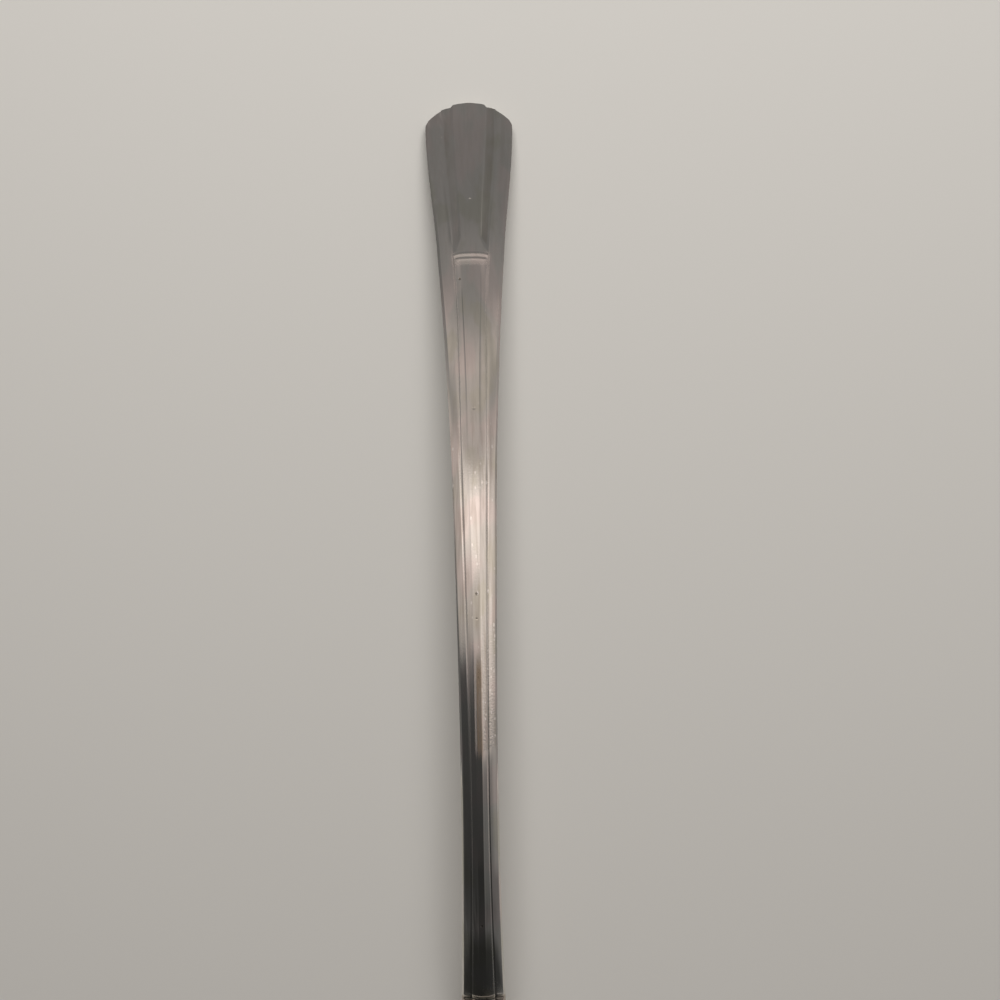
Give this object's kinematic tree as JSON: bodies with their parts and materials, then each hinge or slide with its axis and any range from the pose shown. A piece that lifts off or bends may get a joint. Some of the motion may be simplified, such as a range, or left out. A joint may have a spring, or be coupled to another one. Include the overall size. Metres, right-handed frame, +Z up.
{
  "type": "seafood fork",
  "caption": "Small silver-plated seafood fork with slim tines and an arched, fluted handle that widens to a stepped end, with raised bars across the handle.",
  "frame": {"origin": "on the table under the middle of the fork's length, on its mirror plane", "axes": "+Y along the fork to the handle end, -Y to the tine points, +Z up from the table and out of the patterned face, X across the fork"},
  "size_m": [0.0128, 0.154, 0.0104],
  "materials": {
    "silver_plate": "worn silver plate on a struck blank, polished, with fine scratches"
  },
  "bodies": {
    "root": {"handle_end": "silver_plate", "handle_stem": "silver_plate", "neck": "silver_plate", "root": "silver_plate", "tine_left": "silver_plate", "tine_middle": "silver_plate", "tine_right": "silver_plate"}
  },
  "joints": []
}
